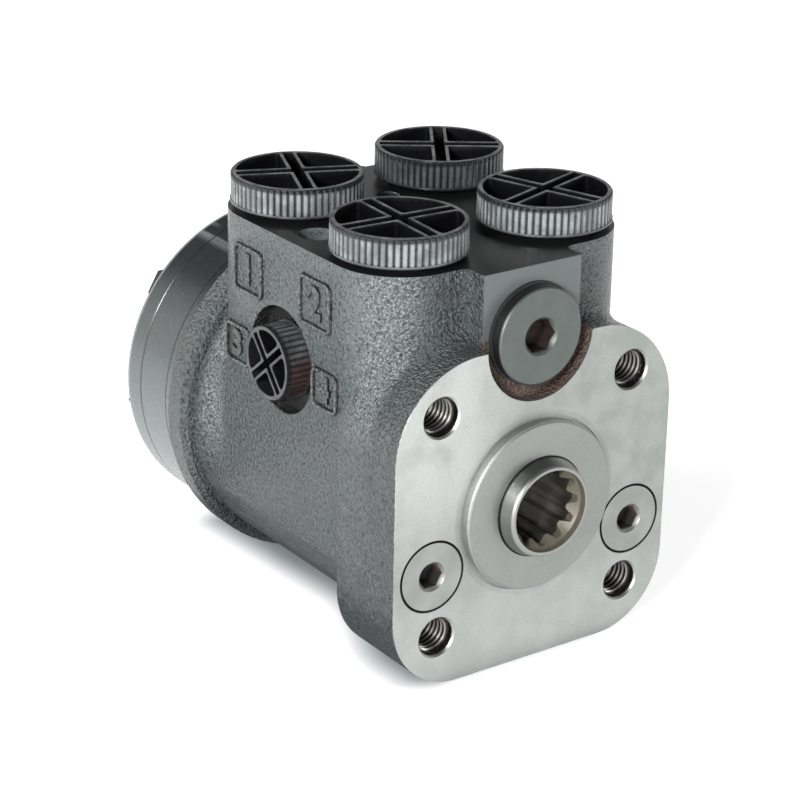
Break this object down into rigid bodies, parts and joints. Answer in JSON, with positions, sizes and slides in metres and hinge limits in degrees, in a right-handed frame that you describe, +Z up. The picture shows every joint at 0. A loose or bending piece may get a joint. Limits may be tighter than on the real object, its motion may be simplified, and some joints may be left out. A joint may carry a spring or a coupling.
{
  "type": "orbital steering unit",
  "caption": "Hydraulic orbital steering unit: flanged cast housing with splined spool end, capped ports and rear gear set.",
  "frame": {"origin": "centre of the steering column's bolt pattern, on the mounting face", "axes": "+Y into the unit along the spool axis, +Z up towards the ports, +X to the right seen from the column"},
  "size_m": [0.0936, 0.1361, 0.1169],
  "materials": {
    "cast_paint": "satin",
    "machined_steel": "satin",
    "hard_steel": "polished",
    "spring_steel": "satin",
    "phosphated_steel": "satin",
    "dark_paint": "gloss",
    "seal_rubber": "matte",
    "cap_plastic": "gloss"
  },
  "bodies": {
    "housing": {"housing": "cast_paint", "dust_seal": "seal_rubber", "shaft_seal": "seal_rubber", "bearing_front_race": "hard_steel", "gear_ring": "dark_paint", "distributor_plate": "dark_paint", "end_cover": "dark_paint", "cover_bolts": "phosphated_steel", "bolt_washers": "phosphated_steel", "housing_o_ring": "seal_rubber", "plate_o_ring": "seal_rubber", "cover_o_ring": "seal_rubber", "relief_plug": "phosphated_steel", "relief_plug_washer": "seal_rubber", "relief_seat": "hard_steel", "relief_spring": "spring_steel", "suction_plugs": "machined_steel", "suction_spring_left": "spring_steel", "suction_spring_right": "spring_steel", "check_bushing": "hard_steel", "ball_stop": "hard_steel", "port_cap_seals": "seal_rubber", "side_cap_seal": "seal_rubber", "gallery_plug": "phosphated_steel"},
    "sleeve": {"sleeve": "hard_steel", "cross_pin": "hard_steel", "leaf_springs": "spring_steel", "spring_ring": "spring_steel", "bearing_rear_race": "hard_steel"},
    "spool": {"spool": "machined_steel"},
    "bearing": {"bearing_cage": "spring_steel", "bearing_needles": "hard_steel"},
    "spacer": {"spacer": "hard_steel"},
    "rotor": {"rotor": "hard_steel"},
    "drive_shaft": {"drive_shaft": "hard_steel"},
    "relief_poppet": {"relief_poppet": "hard_steel"},
    "suction_ball_left": {"suction_ball_left": "hard_steel"},
    "suction_ball_right": {"suction_ball_right": "hard_steel"},
    "check_ball": {"check_ball": "hard_steel"},
    "port_cap_front_left": {"port_cap_front_left": "cap_plastic"},
    "port_cap_front_right": {"port_cap_front_right": "cap_plastic"},
    "port_cap_rear_left": {"port_cap_rear_left": "cap_plastic"},
    "port_cap_rear_right": {"port_cap_rear_right": "cap_plastic"},
    "side_port_cap": {"side_port_cap": "cap_plastic"}
  },
  "joints": [
    {"name": "sleeve_turn", "type": "hinge", "parent": "housing", "child": "sleeve", "pos_m": [0, 0.05, 0], "axis": [0, 1, 0], "continuous": true},
    {"name": "spool_deflect", "type": "hinge", "parent": "sleeve", "child": "spool", "pos_m": [0, 0.05, 0], "axis": [0, 1, 0], "range_deg": [-8, 8], "stiffness_Nm_per_rad": 2, "deforming": ["leaf_springs"]},
    {"name": "bearing_roll", "type": "hinge", "parent": "housing", "child": "bearing", "pos_m": [0, 0.00925, 0], "axis": [0, 1, 0], "continuous": true},
    {"name": "spacer_orbit", "type": "hinge", "parent": "housing", "child": "spacer", "pos_m": [0, 0.115, 0], "axis": [0, 1, 0], "continuous": true},
    {"name": "rotor_spin", "type": "hinge", "parent": "spacer", "child": "rotor", "pos_m": [0, 0.11115, -0.0032], "axis": [0, 1, 0], "continuous": true},
    {"name": "drive_spin", "type": "hinge", "parent": "spacer", "child": "drive_shaft", "pos_m": [0, 0.03, 0], "axis": [0, 0.9992, -0.0394], "continuous": true},
    {"name": "relief_lift", "type": "slide", "parent": "housing", "child": "relief_poppet", "axis": [0, 1, 0], "range_m": [0, 0.0015], "stiffness_N_per_m": 500, "springref_m": -0.004, "deforming": ["relief_spring"]},
    {"name": "suction_lift_left", "type": "slide", "parent": "housing", "child": "suction_ball_left", "axis": [0, -1, 0], "range_m": [0, 0.0025], "stiffness_N_per_m": 100, "springref_m": -0.003, "deforming": ["suction_spring_left"]},
    {"name": "suction_lift_right", "type": "slide", "parent": "housing", "child": "suction_ball_right", "axis": [0, -1, 0], "range_m": [0, 0.0025], "stiffness_N_per_m": 100, "springref_m": -0.003, "deforming": ["suction_spring_right"]},
    {"name": "check_lift", "type": "slide", "parent": "housing", "child": "check_ball", "axis": [0, 0, 1], "range_m": [0, 0.002]},
    {"name": "cap_off_front_left", "type": "slide", "parent": "housing", "child": "port_cap_front_left", "axis": [0, 0, 1], "range_m": [0, 0.03]},
    {"name": "cap_off_front_right", "type": "slide", "parent": "housing", "child": "port_cap_front_right", "axis": [0, 0, 1], "range_m": [0, 0.03]},
    {"name": "cap_off_rear_left", "type": "slide", "parent": "housing", "child": "port_cap_rear_left", "axis": [0, 0, 1], "range_m": [0, 0.03]},
    {"name": "cap_off_rear_right", "type": "slide", "parent": "housing", "child": "port_cap_rear_right", "axis": [0, 0, 1], "range_m": [0, 0.03]},
    {"name": "cap_off_side", "type": "slide", "parent": "housing", "child": "side_port_cap", "axis": [-1, 0, 0], "range_m": [0, 0.025]}
  ],
  "couplings": [
    {"joint": "bearing_roll", "follows": "sleeve_turn", "ratio": 0.5},
    {"joint": "spacer_orbit", "follows": "sleeve_turn", "ratio": -6},
    {"joint": "rotor_spin", "follows": "sleeve_turn", "ratio": 7},
    {"joint": "drive_spin", "follows": "sleeve_turn", "ratio": 7}
  ]
}
